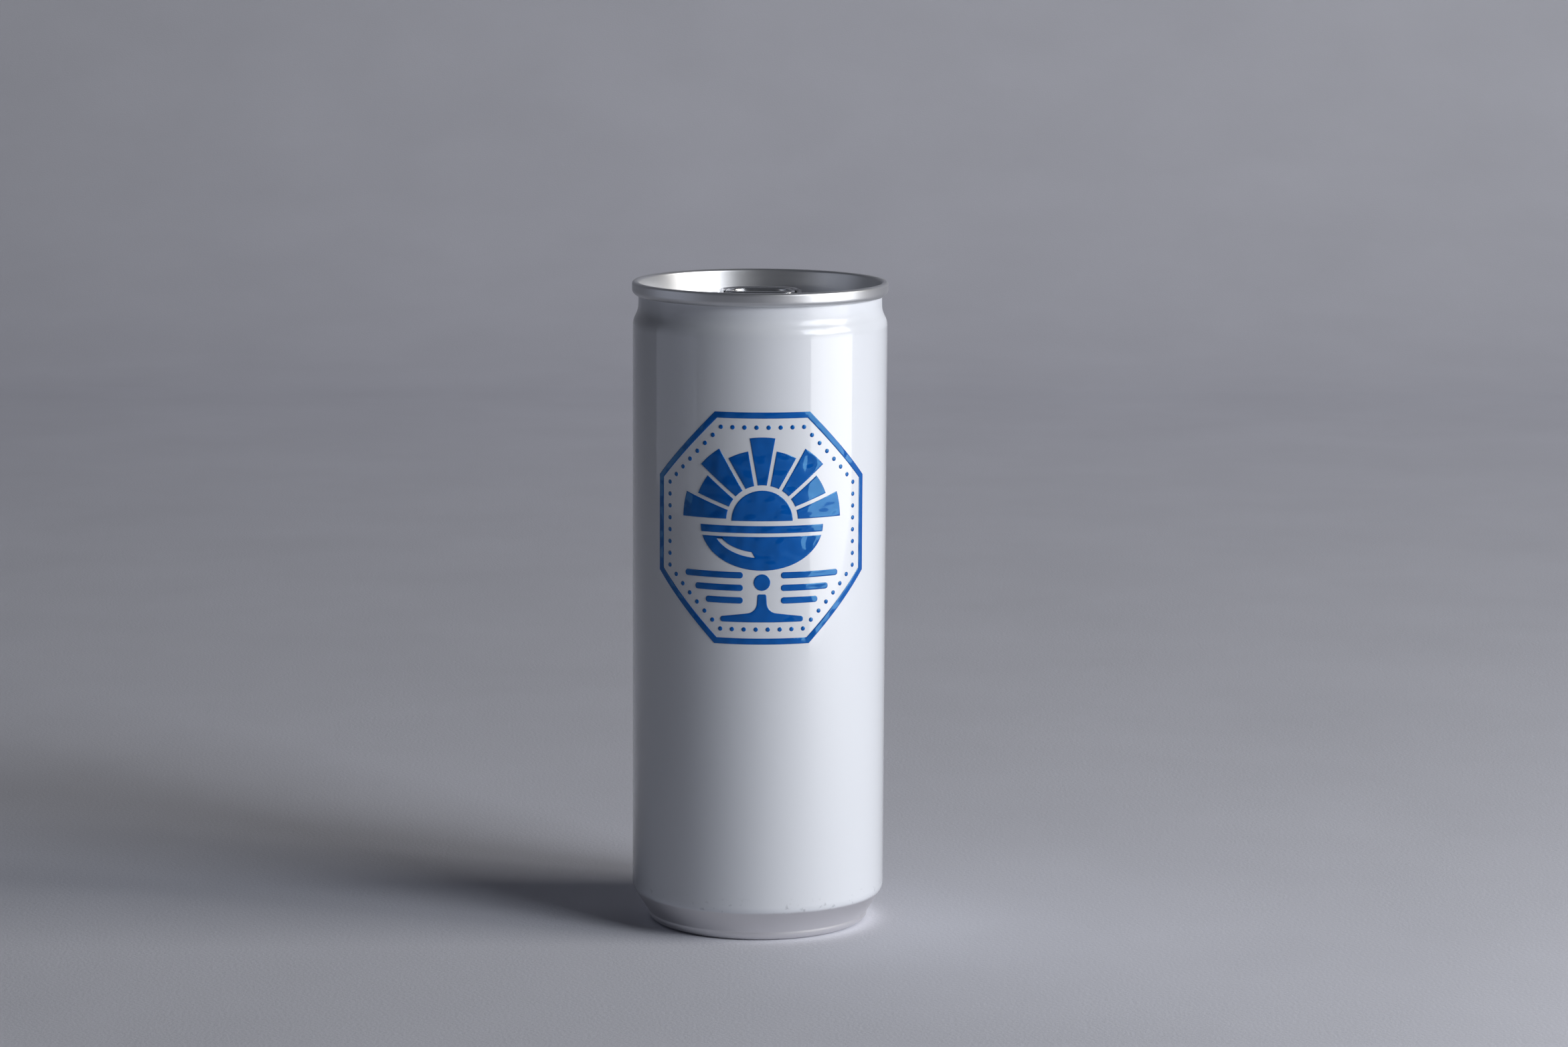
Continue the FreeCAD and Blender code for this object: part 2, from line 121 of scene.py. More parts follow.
class CanEndSizes(PropertyGroup):
    """Sizes of the seamed end."""
    crest: length("Crest", "Top of the double seam", end_top.z)
    seam_radius: length("Seam radius", "Outside of the double seam", end_top.x)
    seam_height: length("Seam height", "Crest to underside of the seam", 2.9 * MM)
    seam_outer_round: length("Outer round", "Outer round of the crest", 0.6 * MM)
    seam_inner_round: length("Inner round", "Inner round of the crest", 0.65 * MM)
    hook_round: length("Hook round", "Lower round of the seam", 1.15 * MM)
    chuck_top_radius: length("Chuck top", "Inner side of the seam at the crest", 25.3 * MM)
    chuck_foot_radius: length("Chuck foot", "Chuck wall at the countersink", 24.2 * MM)
    countersink_depth: length("Countersink", "Crest to bottom of the countersink", 6.5 * MM)
    countersink_round: length("Countersink round", "Rounds at its bottom", 0.6 * MM)
    panel_depth: length("Panel depth", "Crest to top of the panel", 4.45 * MM)
    panel_wall_radius: length("Panel wall", "Inner wall of the countersink", 22.8 * MM)
    panel_edge_round: length("Panel edge", "Round of the panel's edge", 0.5 * MM)
    panel_radius: length("Pressed field", "Part of the panel that carries the pressing", 21.5 * MM)
    sheet: length("Sheet", "Thickness of the end", 0.25 * MM)
    score_half_width: length("Score width", "Half the width of the opening", 10.6 * MM)
    score_near: length("Score near", "Rivet to the opening's nearest edge", 3.7 * MM)
    score_far: length("Score far", "Rivet to the opening's far edge", 19.4 * MM)
    score_round: length("Score round", "Corner round of the opening", 7.6 * MM)
    score_width: length("Score line", "Width of the score groove", 0.35 * MM)
    score_depth: length("Score depth", "Depth of the score groove", 0.12 * MM)
    bead_across: length("Bead place", "Axis to the middle of a side bead", 11.9 * MM)
    bead_start: length("Bead start", "Front of a side bead", 3.7 * MM)
    bead_stop: length("Bead stop", "Back of a side bead", 12.3 * MM)
    bead_half_width: length("Bead width", "Half the width of a bead", 0.85 * MM)
    bead_height: length("Bead height", "How far a bead stands up", 0.3 * MM)
    well_middle: length("Well place", "Rivet to the middle of the finger well", 15.2 * MM)
    well_depth: length("Well depth", "Depth of the finger well", 0.5 * MM)
    boss_radius: length("Boss radius", "Raised seat round the rivet", 3.9 * MM)
    boss_height: length("Boss height", "Height of that seat", 0.3 * MM)
    shank_radius: length("Shank radius", "Rivet inside the tab", 1.6 * MM)
    head_radius: length("Head radius", "Rivet head", 2.8 * MM)
    head_thickness: length("Head thickness", "Thickness of the rivet head", 0.45 * MM)
    dimple_radius: length("Dimple radius", "Hollow in the rivet head", 1.2 * MM)
    dimple_depth: length("Dimple depth", "Depth of that hollow", 0.3 * MM)


class CanTabSizes(PropertyGroup):
    """Sizes of the tab."""
    half_width: length("Half width", "Half the width of the tab", tab_high.x)
    nose: length("Nose", "Rivet to the tip of the nose", -tab_low.y)
    heel: length("Heel", "Rivet to the end of the finger ring", tab_high.y)
    nose_round: length("Nose round", "Corner round of the nose", 6.7 * MM)
    heel_round: length("Heel round", "Corner round of the heel", 6.4 * MM)
    underside: length("Underside", "Height of the curled rim's underside", tab_low.z)
    top: length("Top", "Height of the curled rim's top", tab_high.z)
    curl_width: length("Curl width", "Width of the curled rim", 1.3 * MM)
    finger_curl_width: length("Finger curl", "Width of the finger hole's curled edge", 1.05 * MM)
    web_thickness: length("Web thickness", "Flat web inside the rim", 0.3 * MM)
    finger_half_width: length("Finger hole", "Half the width of the finger hole", 6.3 * MM)
    finger_front: length("Finger front", "Rivet to the front of the finger hole", 8.3 * MM)
    finger_back: length("Finger back", "Rivet to the back of the finger hole", 15.9 * MM)
    finger_front_round: length("Finger front round", "Front corner round of that hole", 2.0 * MM)
    finger_back_round: length("Finger back round", "Back corner round of that hole", 4.1 * MM)
    slot_inner: length("Slot inner", "Inner side of the slot round the rivet", 3.7 * MM)
    slot_outer: length("Slot outer", "Outer side of the slot round the rivet", 4.3 * MM)
    slot_front: length("Slot front", "How far the slot comes forward", 1.6 * MM)


class CanPrintSizes(PropertyGroup):
    """Sizes and place of the raised print."""
    middle_height: length("Height", "Height of the print's middle", 87.0 * MM)
    turn: angle("Turn", "How far the print is turned to the right of the front", 1.3)
    frame_reach: length("Frame reach", "Middle of the print to a flat of its frame", 23.9 * MM)
    line: length("Line", "Width of the frame's line", 1.25 * MM)
    gap: length("Gap", "Width of the white lines between the shapes", 0.75 * MM)
    ink: length("Ink", "How far the ink stands off the wall", 0.11 * MM)
    edge: length("Edge", "Width of the ink's rounded edge", 0.28 * MM)
    dots: IntProperty(name="Dots", description="Dots round the inside of the frame", default=56, min=8)
    dot_inset: length("Dot inset", "Frame's outside to the row of dots", 3.1 * MM)
    dot_diameter: length("Dot diameter", "Diameter of a dot", 0.95 * MM)


class CanColours(PropertyGroup):
    """Colours of the finishes."""
    lacquer: colour("Lacquer", "White base coat of the wall", "#DADEE5")
    bare_metal: colour("Bare metal", "Ironed aluminium at the foot", "#DAD9DB")
    scuff: colour("Scuff", "Grey rub marks low on the wall", "#7E838C")
    end_metal: colour("End", "Aluminium of the seamed end", "#CFD0D2")
    tab_metal: colour("Tab", "Aluminium of the tab", "#C8C9CB")
    ink: colour("Ink", "Raised blue ink", "#0053AA")
    paper: colour("Paper", "Floor and backdrop", "#DBDDE7")


class CanStageSettings(PropertyGroup):
    """Camera, lamps and surroundings."""
    camera_distance: length("Camera distance", "Can's axis to the camera", 928.14 * MM)
    camera_height: length("Camera height", "Height of the camera", 227.91 * MM)
    camera_tilt: angle("Camera tilt", "How far the camera looks down", 8.81)
    camera_pan: angle("Camera pan", "How far it looks to the right", 0.32)
    camera_roll: angle("Camera roll", "How far it leans", 0.30)
    camera_lens: FloatProperty(name="Lens", description="Focal length on a 36 mm wide sensor",
                               default=102.98, subtype="DISTANCE_CAMERA")
    front_key: power("Front key", "Power of the soft box at the front right", 16.6)
    middle_key: power("Middle key", "Power of the soft box beside it", 10.6)
    side_key: power("Side key", "Power of the soft box on the right side", 16.9)
    window: power("Window", "Power of the near panel that the wall mirrors", 0.62)
    left_card: power("Left card", "Power of the pale card on the left", 0.30)
    top_lamp: power("Top lamp", "Power of the lamp over the floor behind", 0.12)
    room_light: FloatProperty(name="Room light", description="Strength of the dark room", default=0.004)
    mirrored_light: FloatProperty(name="Mirrored room", description="Strength that shiny metal mirrors",
                                  default=0.11)


class CanSettings(PropertyGroup):
    """All settings of the can."""
    body: PointerProperty(type=CanBodySizes)
    end: PointerProperty(type=CanEndSizes)
    tab: PointerProperty(type=CanTabSizes)
    artwork: PointerProperty(type=CanPrintSizes)
    colours: PointerProperty(type=CanColours)
    stage: PointerProperty(type=CanStageSettings)


# ---------------------------------------------------------------- node trees

MATH = "ShaderNodeMath"
NOISE = "ShaderNodeTexNoise"
RANGE = "ShaderNodeMapRange"
MIX = "ShaderNodeMix"
BUMP = "ShaderNodeBump"
COMBINE = "ShaderNodeCombineXYZ"


def add(tree, kind, inputs=None, **settings):
    """Add a node and return its outputs.

    Inputs are constants or sockets to link, and settings are the node's own properties.
    """
    node = tree.nodes.new(kind)
    for name, value in settings.items():
        setattr(node, name, value)
    for name, value in (inputs or {}).items():
        if isinstance(value, bpy.types.NodeSocket):
            tree.links.new(value, node.inputs[name])
        else:
            node.inputs[name].default_value = value
    return node.outputs


def shade(colour_value, share=1.0):
    """A colour for a socket, darkened to a share of itself."""
    return (*[channel * share for channel in colour_value], 1.0)


def new_material(name):
    """A material with an empty tree, and its object coordinates in metres."""
    material = bpy.data.materials.new(name)
    material.use_nodes = True
    tree = material.node_tree
    tree.nodes.clear()
    return material, tree, add(tree, "ShaderNodeTexCoord")["Object"]


def finish_material(tree, inputs):
    """Close a tree with one surface shader."""
    surface = add(tree, "ShaderNodeBsdfPrincipled", inputs)
    add(tree, "ShaderNodeOutputMaterial", {"Surface": surface["BSDF"]})


def round_the_axis(tree, place):
    """Distance from the axis, angle round it and height, of the place on the can."""
    parts = add(tree, "ShaderNodeSeparateXYZ", {"Vector": place})
    flat = add(tree, COMBINE, {"X": parts["X"], "Y": parts["Y"]})
    radius = add(tree, "ShaderNodeVectorMath", {0: flat["Vector"]}, operation="LENGTH")
    turn = add(tree, MATH, {0: parts["Y"], 1: parts["X"]}, operation="ARCTAN2")
    return radius["Value"], turn["Value"], parts["Z"]


# ---------------------------------------------------------------- finishes
# A noise's scale is one over the size of its blotches, and a bump's distance is how deep its relief
# is drawn, both in metres.

def lacquered_can_wall(colours, body):
    """White base coat and clear varnish, roller-coated and baked on drawn, ironed aluminium.

    The varnish gives sharp soft-box reflections over a softer white, the roller a faint orange
    peel 1.5 mm across and the ironing faint upright lines. The real lines are too fine to show, so
    they are drawn 0.5 mm apart. The necking dies leave the neck duller.
    The coat stops short of the foot, where the bare metal is satin and greyer, and small grey scuffs
    from the conveyor sit just above its edge. The dome underneath is bare too.
    """
    material, tree, place = new_material("lacquered_can_wall")
    radius, turn, height = round_the_axis(tree, place)

    ripple = add(tree, NOISE, {"Vector": place, "Scale": 1 / (3.0 * MM)})
    wobble = add(tree, RANGE, {"Value": ripple["Fac"], "To Min": -0.18 * MM, "To Max": 0.18 * MM})
    level = add(tree, MATH, {0: height, 1: wobble["Result"]}, operation="ADD")
    above_edge = add(tree, RANGE, {"Value": level["Value"], "From Min": body.coat_edge - 0.25 * MM,
                                   "From Max": body.coat_edge + 0.25 * MM})
    outside = add(tree, RANGE, {"Value": radius, "From Min": 21.0 * MM, "From Max": 22.0 * MM})
    covered = add(tree, MATH, {0: above_edge["Result"], 1: outside["Result"]}, operation="MULTIPLY")
    coated = covered["Value"]
    bare = add(tree, RANGE, {"Value": coated, "To Min": 1.0, "To Max": 0.0})["Result"]

    arc = add(tree, MATH, {0: turn, 1: body.wall_radius}, operation="MULTIPLY")
    unrolled = add(tree, COMBINE, {"X": arc["Value"]})
    draw_lines = add(tree, NOISE, {"Vector": unrolled["Vector"], "Scale": 1 / (0.5 * MM)})["Fac"]
    lined = add(tree, MATH, {0: draw_lines, 1: bare}, operation="MULTIPLY")
    orange_peel = add(tree, NOISE, {"Vector": place, "Scale": 1 / (1.5 * MM), "Detail": 1.0})
    varnish = add(tree, BUMP, {"Height": orange_peel["Fac"], "Distance": 0.0008 * MM})["Normal"]
    surface = add(tree, BUMP, {"Height": lined["Value"], "Distance": 0.004 * MM, "Normal": varnish})

    necked = add(tree, RANGE, {
        "Value": height, "From Min": body.wall_top - 1.0 * MM, "From Max": body.wall_top + 0.6 * MM,
        "To Min": 1.0, "To Max": 0.3})
    gloss = add(tree, MATH, {0: coated, 1: necked["Result"]}, operation="MULTIPLY")
    handling = add(tree, NOISE, {"Vector": place, "Scale": 1 / (9.0 * MM), "Detail": 4.0})
    coat_roughness = add(tree, RANGE, {"Value": handling["Fac"], "To Min": 0.30, "To Max": 0.36})
    metal_roughness = add(tree, RANGE, {"Value": draw_lines, "To Min": 0.42, "To Max": 0.54})
    roughness = add(tree, MIX, {0: coated, 2: metal_roughness["Result"], 3: coat_roughness["Result"]})

    rub = add(tree, NOISE, {"Vector": place, "Scale": 1 / (1.3 * MM), "Detail": 4.0})
    marks = add(tree, RANGE, {"Value": rub["Fac"], "From Min": 0.60, "From Max": 0.70, "To Max": 0.45})
    low = add(tree, RANGE, {
        "Value": height, "From Min": body.coat_edge + 0.5 * MM, "From Max": body.coat_edge + 3.5 * MM,
        "To Min": 1.0, "To Max": 0.0})
    scuffs = add(tree, MATH, {0: marks["Result"], 1: low["Result"]}, operation="MULTIPLY")
    coat = add(tree, MIX, {0: scuffs["Value"], 6: shade(colours.lacquer), 7: shade(colours.scuff)},
               data_type="RGBA")
    wall = add(tree, MIX, {0: coated, 6: shade(colours.bare_metal), 7: coat[2]}, data_type="RGBA")
    finish_material(tree, {
        "Base Color": wall[2],
        "Metallic": bare,
        "Roughness": roughness[0],
        "Coat Weight": gloss["Value"],
        "Coat Roughness": 0.045,
        "Normal": surface["Normal"],
        "Coat Normal": varnish,
    })
    return material


def seamed_end_aluminium(colours):
    """Rolled aluminium sheet, varnished, pressed and rolled into a double seam.

    The mill leaves straight grain across the panel and the seaming rolls burnish fine rings round
    the rim, so highlights spread along the rim and stay soft. The real grain is too fine to show,
    so both are drawn 0.3 mm apart.
    """
    material, tree, place = new_material("seamed_end_aluminium")
    radius, _, height = round_the_axis(tree, place)
    rings = add(tree, COMBINE, {"X": radius, "Z": height})
    ring_grain = add(tree, NOISE, {"Vector": rings["Vector"], "Scale": 1 / (0.3 * MM)})
    stretched = add(tree, "ShaderNodeMapping", {"Vector": place, "Scale": (1.0, 0.03, 1.0)})
    mill_grain = add(tree, NOISE, {"Vector": stretched["Vector"], "Scale": 1 / (0.3 * MM)})
    on_rim = add(tree, RANGE, {"Value": radius, "From Min": 22.0 * MM, "From Max": 22.6 * MM})
    grain = add(tree, MIX, {0: on_rim["Result"], 2: mill_grain["Fac"], 3: ring_grain["Fac"]})[0]
    cloud = add(tree, NOISE, {"Vector": place, "Scale": 1 / (6.0 * MM), "Detail": 3.0})["Fac"]
    mottled = add(tree, MATH, {0: cloud, 1: 0.5, 2: grain}, operation="MULTIPLY_ADD")
    roughness = add(tree, RANGE, {"Value": mottled["Value"], "From Min": 0.3, "From Max": 1.2,
                                  "To Min": 0.34, "To Max": 0.48})
    metal = add(tree, MIX, {0: cloud, 6: shade(colours.end_metal, 0.96), 7: shade(colours.end_metal)},
                data_type="RGBA")
    finish_material(tree, {
        "Base Color": metal[2],
        "Metallic": 1.0,
        "Roughness": roughness["Result"],
        "Normal": add(tree, BUMP, {"Height": grain, "Distance": 0.003 * MM})["Normal"],
    })
    return material


def tab_aluminium(colours):
    """Bright rolled aluminium strip, pierced and curled: smoother than the end, with fine grain.

    The real grain is too fine to show, so it is drawn 0.25 mm apart.
    """
    material, tree, place = new_material("tab_aluminium")
    stretched = add(tree, "ShaderNodeMapping", {"Vector": place, "Scale": (1.0, 0.05, 1.0)})
    grain = add(tree, NOISE, {"Vector": stretched["Vector"], "Scale": 1 / (0.25 * MM)})["Fac"]
    metal = add(tree, MIX, {0: grain, 6: shade(colours.tab_metal, 0.95), 7: shade(colours.tab_metal)},
                data_type="RGBA")
    finish_material(tree, {
        "Base Color": metal[2],
        "Metallic": 1.0,
        "Roughness": add(tree, RANGE, {"Value": grain, "To Min": 0.16, "To Max": 0.26})["Result"],
        "Normal": add(tree, BUMP, {"Height": grain, "Distance": 0.002 * MM})["Normal"],
    })
    return material


def raised_blue_ink(colours):
    """Thick screen-printed ink, flooded and cured: deep blue and glossy, with soft rounded edges.

    It reflects the lamp as pale blue sheets with wavy edges, from a flow pattern 2.6 mm across.
    """
    material, tree, place = new_material("raised_blue_ink")
    flow = add(tree, NOISE, {"Vector": place, "Scale": 1 / (2.6 * MM), "Detail": 0.0})["Fac"]
    film = add(tree, MIX, {0: flow, 6: shade(colours.ink, 0.93), 7: shade(colours.ink)},
               data_type="RGBA")
    finish_material(tree, {
        "Base Color": film[2],
        "Roughness": add(tree, RANGE, {"Value": flow, "To Min": 0.03, "To Max": 0.08})["Result"],
        "Specular IOR Level": 0.8,
        "Specular Tint": shade(linear("#A0EDFF")),
        "Normal": add(tree, BUMP, {"Height": flow, "Distance": 0.28 * MM})["Normal"],
    })
    return material


def studio_paper(colours):
    """Matt seamless background paper: cloudy pulp and a tooth 0.8 mm across, with no gloss."""
    material, tree, place = new_material("studio_paper")
    tooth = add(tree, NOISE, {"Vector": place, "Scale": 1 / (0.8 * MM), "Detail": 3.0})["Fac"]
    cloud = add(tree, NOISE, {"Vector": place, "Scale": 1 / (60.0 * MM), "Detail": 4.0})
    pulp = add(tree, MIX, {0: cloud["Fac"], 6: shade(colours.paper, 0.88), 7: shade(colours.paper)},
               data_type="RGBA")
    finish_material(tree, {
        "Base Color": pulp[2],
        "Roughness": add(tree, RANGE, {"Value": tooth, "To Min": 0.85, "To Max": 1.0})["Result"],
        "Specular IOR Level": 0.2,
        "Normal": add(tree, BUMP, {"Height": tooth, "Distance": 0.05 * MM})["Normal"],
    })
    return material


# ---------------------------------------------------------------- outlines and meshes

def rounded_outline(corners, closed=True, step=math.radians(7.5), hold=0.06 * MM):
    """Points along an outline through corners (across, up, round).

    Rounds become arcs in even steps. A straight stretch gets a point close to each end, so that
    smooth shading stays flat along it.
    """
    count = len(corners)
    groups = []
    for i, (across, up, rounding) in enumerate(corners):
        corner = Vector((across, up))
        if not rounding or (not closed and i in (0, count - 1)):
            groups.append([corner])
            continue
        back = (Vector(corners[i - 1][:2]) - corner).normalized()
        forward = (Vector(corners[(i + 1) % count][:2]) - corner).normalized()
        half_angle = back.angle(forward) / 2
        reach = rounding / math.tan(half_angle)
        centre = corner + (back + forward).normalized() * (rounding / math.sin(half_angle))
        spoke = corner + back * reach - centre
        turn = math.copysign(math.pi - 2 * half_angle, back.cross(forward))
        steps = max(2, math.ceil(abs(turn) / step))
        groups.append([centre + Matrix.Rotation(-turn * k / steps, 2) @ spoke for k in range(steps + 1)])

    points = []
    for i, group in enumerate(groups):
        points.extend(group)
        if not closed and i == count - 1:
            break
        start = group[-1]
        stop = groups[(i + 1) % count][0]
        stretch = stop - start
        if stretch.length > 5 * hold:
            along = stretch.normalized() * hold
            points.extend([start + along, stop - along])
    return points


def even_steps(start, stop, steps):
    """Values from start to stop in even steps, both included."""
    return [start + (stop - start) * k / steps for k in range(steps + 1)]


def arc_points(centre, radius, start, stop, steps):
    """Points along an arc, both ends included."""
    return [Vector((centre[0] + radius * math.cos(a), centre[1] + radius * math.sin(a)))
            for a in even_steps(start, stop, steps)]


def link(name, data):
    """An object at the origin, in the scene."""
    piece = bpy.data.objects.new(name, data)
    bpy.context.scene.collection.objects.link(piece)
    return piece


def drop(piece):
    """Remove a helper object."""
    bpy.data.objects.remove(piece)


def evaluated_mesh(piece, name):
    """The piece with its modifiers applied, as a plain mesh."""
    bpy.context.view_layer.update()
    depsgraph = bpy.context.evaluated_depsgraph_get()
    mesh = bpy.data.meshes.new_from_object(piece.evaluated_get(depsgraph))
    mesh.name = name
    return mesh


@contextmanager
def editing(mesh):
    """Open a mesh for editing and write it back."""
    shape = bmesh.new()
    shape.from_mesh(mesh)
    yield shape
    shape.to_mesh(mesh)
    shape.free()


def tidy_mesh(mesh):
    """Merge doubled points, turn every face outwards and shade it smooth."""
    with editing(mesh) as shape:
        bmesh.ops.remove_doubles(shape, verts=shape.verts, dist=MERGE_DISTANCE)
        bmesh.ops.dissolve_degenerate(shape, edges=shape.edges, dist=MERGE_DISTANCE)
        bmesh.ops.recalc_face_normals(shape, faces=shape.faces)
        for face in shape.faces:
            face.smooth = True


def hand_over(piece, replaced=None):
    """Tie a finished piece to the frame."""
    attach(piece, "root")
    if replaced:
        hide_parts(replaced)


# ---------------------------------------------------------------- geometry nodes

def new_tree(name, sockets):
    """A geometry node group with named inputs, given as (name, socket type, default)."""
    tree = bpy.data.node_groups.new(name, "GeometryNodeTree")
    tree.interface.new_socket("Geometry", in_out="OUTPUT", socket_type="NodeSocketGeometry")
    tree.interface.new_socket("Geometry", in_out="INPUT", socket_type="NodeSocketGeometry")
    tree.interface.new_socket("Material", in_out="INPUT", socket_type="NodeSocketMaterial")
    for label, kind, default in sockets:
        socket = tree.interface.new_socket(label, in_out="INPUT", socket_type=kind)
        socket.default_value = default
    return tree, add(tree, "NodeGroupInput")


def finish_tree(tree, geometry, given):
    """End a tree in real mesh with its material."""
    real = add(tree, "GeometryNodeRealizeInstances", {"Geometry": geometry})
    finished = add(tree, "GeometryNodeSetMaterial",
                   {"Geometry": real["Geometry"], "Material": given["Material"]})
    add(tree, "NodeGroupOutput", {"Geometry": finished["Geometry"]})


def run_tree(name, mesh, tree, values):
    """Run a tree on a mesh and return the result as a plain mesh."""
    helper = link(f"{name}_helper", mesh)
    modifier = helper.modifiers.new(tree.name, "NODES")
    modifier.node_group = tree
    for item in tree.interface.items_tree:
        if item.item_type == "SOCKET" and item.in_out == "INPUT" and item.name in values:
            modifier[item.identifier] = values[item.name]
    result = evaluated_mesh(helper, name)
    drop(helper)
    return result


def lathe_tree():
    """Turns a profile, drawn in the XZ plane, once round the Z axis."""
    tree, given = new_tree("Lathe", [
        ("Segments", "NodeSocketInt", 192),
        ("Arbor Radius", "NodeSocketFloat", 1.0 * MM),
        ("Merge Distance", "NodeSocketFloat", MERGE_DISTANCE),
    ])
    profile = add(tree, "GeometryNodeMeshToCurve", {"Mesh": given["Geometry"]})
    back = add(tree, MATH, {0: given["Arbor Radius"], 1: -1.0}, operation="MULTIPLY")
    shift = add(tree, COMBINE, {"X": back["Value"]})
    laid = add(tree, "GeometryNodeTransform", {
        "Geometry": profile["Curve"], "Translation": shift["Vector"],
        "Rotation": (math.radians(90), 0, 0)})
    arbor = add(tree, "GeometryNodeCurvePrimitiveCircle",
                {"Resolution": given["Segments"], "Radius": given["Arbor Radius"]})
    upright = add(tree, "GeometryNodeSetCurveNormal", {"Curve": arbor["Curve"]}, mode="Z_UP")
    turned = add(tree, "GeometryNodeCurveToMesh",
                 {"Curve": upright["Curve"], "Profile Curve": laid["Geometry"]})
    merged = add(tree, "GeometryNodeMergeByDistance",
                 {"Geometry": turned["Mesh"], "Distance": given["Merge Distance"]})
    finish_tree(tree, merged["Geometry"], given)
    return tree


def turned_mesh(name, points, segments, material):
    """A mesh turned from an open profile of (radius, height) points."""
    profile = bpy.data.meshes.new(f"{name}_profile")
    edges = [(i, i + 1) for i in range(len(points) - 1)]
    profile.from_pydata([(p.x, 0.0, p.y) for p in points], edges, [])
    tree = bpy.data.node_groups.get("Lathe") or lathe_tree()
    mesh = run_tree(name, profile, tree, {"Segments": segments, "Material": material})
    tidy_mesh(mesh)
    return mesh


def dot_row_tree():
    """A row of low round dots along an eight-sided path, bent onto the can's wall."""
    tree, given = new_tree("Dot Row", [
        ("Dots", "NodeSocketInt", 56),
        ("Path Radius", "NodeSocketFloat", 22.0 * MM),
        ("Dot Diameter", "NodeSocketFloat", 1.0 * MM),
        ("Ink Height", "NodeSocketFloat", 0.1 * MM),
        ("Wall Radius", "NodeSocketFloat", 26.5 * MM),
        ("Middle Height", "NodeSocketFloat", 87.0 * MM),
        ("Turn", "NodeSocketFloat", 0.0),
    ])
    path = add(tree, "GeometryNodeCurvePrimitiveCircle",
               {"Resolution": 8, "Radius": given["Path Radius"]})
    squared = add(tree, "GeometryNodeTransform",
                  {"Geometry": path["Curve"], "Rotation": (0, 0, math.radians(22.5))})
    places = add(tree, "GeometryNodeResampleCurve",
                 {"Curve": squared["Geometry"], "Count": given["Dots"]})
    ball = add(tree, "GeometryNodeMeshUVSphere", {"Segments": 12, "Rings": 8, "Radius": 1.0})
    half = add(tree, MATH, {0: given["Dot Diameter"], 1: 0.5}, operation="MULTIPLY")
    size = add(tree, COMBINE, {"X": half["Value"], "Y": half["Value"], "Z": given["Ink Height"]})
    dots = add(tree, "GeometryNodeInstanceOnPoints",
               {"Points": places["Curve"], "Instance": ball["Mesh"], "Scale": size["Vector"]})
    real = add(tree, "GeometryNodeRealizeInstances", {"Geometry": dots["Instances"]})

    position = add(tree, "GeometryNodeInputPosition")
    here = add(tree, "ShaderNodeSeparateXYZ", {"Vector": position["Position"]})
    bend = add(tree, MATH, {0: here["X"], 1: given["Wall Radius"]}, operation="DIVIDE")
    bearing = add(tree, MATH, {0: bend["Value"], 1: given["Turn"]}, operation="ADD")
    reach = add(tree, MATH, {0: here["Z"], 1: given["Wall Radius"]}, operation="ADD")
    sine = add(tree, MATH, {0: bearing["Value"]}, operation="SINE")
    cosine = add(tree, MATH, {0: bearing["Value"]}, operation="COSINE")
    right = add(tree, MATH, {0: sine["Value"], 1: reach["Value"]}, operation="MULTIPLY")
    ahead = add(tree, MATH, {0: cosine["Value"], 1: reach["Value"]}, operation="MULTIPLY")
    behind = add(tree, MATH, {0: ahead["Value"], 1: -1.0}, operation="MULTIPLY")
    up = add(tree, MATH, {0: here["Y"], 1: given["Middle Height"]}, operation="ADD")
    bent = add(tree, COMBINE, {"X": right["Value"], "Y": behind["Value"], "Z": up["Value"]})
    moved = add(tree, "GeometryNodeSetPosition",
                {"Geometry": real["Geometry"], "Position": bent["Vector"]})
    finish_tree(tree, moved["Geometry"], given)
    return tree


# ---------------------------------------------------------------- the body

def body_profile(body):
    """The outside from the dome's middle to the neck, closed under the end."""
    rise = body.dome_height - body.dome_rim_height
    dome_radius = (body.dome_rim_radius ** 2 + rise ** 2) / (2 * rise)
    rim_angle = math.asin(body.dome_rim_radius / dome_radius)
    straight_up = math.pi / 2
    short_of_rim = straight_up - rim_angle * 0.93
    dome = arc_points((0, body.dome_height - dome_radius), dome_radius, straight_up, short_of_rim,
                      steps=22)
    dome[0].x = 0.0
    rim_round = 0.9 * MM
    bead_round = 0.6 * MM
    mouth_inset = 0.13 * MM
    under_end_inset = 1.0 * MM
    under_end = body.neck_top - 3.9 * MM
    outside = rounded_outline([
        (dome[-1].x, dome[-1].y, 0),
        (body.dome_rim_radius, body.dome_rim_height, rim_round),
        (body.leg_radius, 0, body.leg_round),
        (body.foot_radius, 0, body.foot_round),
        (body.foot_radius, body.taper_foot, bead_round),
        (body.wall_radius, body.taper_top, body.taper_round),
        (body.wall_radius, body.wall_top, body.neck_blend),
        (body.neck_radius, body.neck_foot, body.neck_blend),
        (body.neck_radius, body.neck_top, 0),
        (body.neck_radius - mouth_inset, body.neck_top, 0),
        (body.neck_radius - under_end_inset, under_end, 0),
        (0, under_end, 0),
    ], closed=False)
    return dome + outside[1:]


class SLIMCAN_OT_body(Operator):
    """Make the drawn body: domed base, foot bead, taper, straight wall and neck"""
    bl_idname = "slim_can.body"
    bl_label = "Body"

    def execute(self, context):
        settings = context.scene.slim_can
        material = lacquered_can_wall(settings.colours, settings.body)
        mesh = turned_mesh("can_wall", body_profile(settings.body), settings.body.segments, material)
        hand_over(link("can_wall", mesh), "can_body")
        return {"FINISHED"}


# ---------------------------------------------------------------- the end

